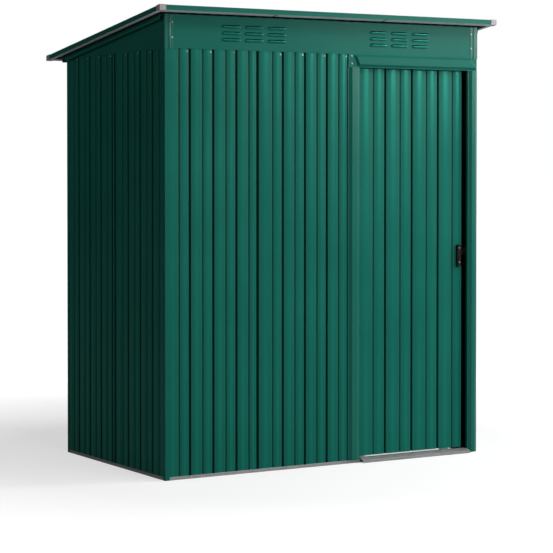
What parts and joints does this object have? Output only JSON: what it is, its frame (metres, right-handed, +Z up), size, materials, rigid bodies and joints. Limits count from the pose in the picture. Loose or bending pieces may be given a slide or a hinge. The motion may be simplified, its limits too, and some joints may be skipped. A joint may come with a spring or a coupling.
{
  "type": "metal storage shed",
  "caption": "Lean-to garden storage shed of ribbed green steel sheets with a louvred fascia and a sliding door.",
  "frame": {"origin": "on the ground under the middle of the roof's outline", "axes": "+Z up, the front with the door faces -Y, the door is at the +X side; the roof falls towards +Y"},
  "size_m": [1.633, 1.051, 1.863],
  "materials": {
    "green_sheet": "satin polyester paint on rolled sheet steel",
    "green_trim": "satin polyester paint on folded sheet steel",
    "galvanised_steel": "dull zinc coating",
    "black_plastic": "moulded, slightly glossy",
    "grey_plastic": "moulded, matt",
    "white_plastic": "moulded nylon"
  },
  "bodies": {
    "shed": {"base_rail_front": "galvanised_steel", "base_rail_back": "galvanised_steel", "base_rail_left": "galvanised_steel", "base_rail_right": "galvanised_steel", "front_wall_sheet_left": "green_sheet", "front_wall_sheet_right": "green_sheet", "left_wall_sheet_back": "green_sheet", "left_wall_sheet_front": "green_sheet", "right_wall_sheet_back": "green_sheet", "right_wall_sheet_front": "green_sheet", "back_wall_sheet_1": "green_sheet", "back_wall_sheet_2": "green_sheet", "back_wall_sheet_3": "green_sheet", "corner_post_front_left": "green_trim", "corner_post_back_left": "green_trim", "corner_post_back_right": "green_trim", "top_rail_left": "green_trim", "top_rail_right": "green_trim", "top_rail_back": "green_trim", "gable_left": "green_sheet", "gable_right": "green_sheet", "fascia": "green_sheet", "fascia_covers": "green_trim", "door_jamb_left": "green_trim", "door_jamb_right": "green_trim", "door_header": "green_trim", "door_threshold": "galvanised_steel", "door_slide_rail": "galvanised_steel", "wall_braces": "galvanised_steel", "roof_beam": "galvanised_steel", "roof_sheet_1": "green_sheet", "roof_sheet_2": "green_sheet", "roof_sheet_3": "green_sheet", "roof_trim_front": "green_trim", "roof_trim_back": "green_trim", "roof_trim_left": "green_trim", "roof_trim_right": "green_trim", "roof_corner_caps": "grey_plastic"},
    "door": {"door_sheet": "green_sheet", "door_stiles": "galvanised_steel", "door_rails": "galvanised_steel", "door_hangers": "galvanised_steel", "door_rollers": "white_plastic", "door_guides": "white_plastic", "door_handle": "black_plastic"}
  },
  "joints": [
    {"name": "door_slide", "type": "slide", "parent": "shed", "child": "door", "axis": [-1, 0, 0], "range_m": [-0.022, 0.505]}
  ]
}
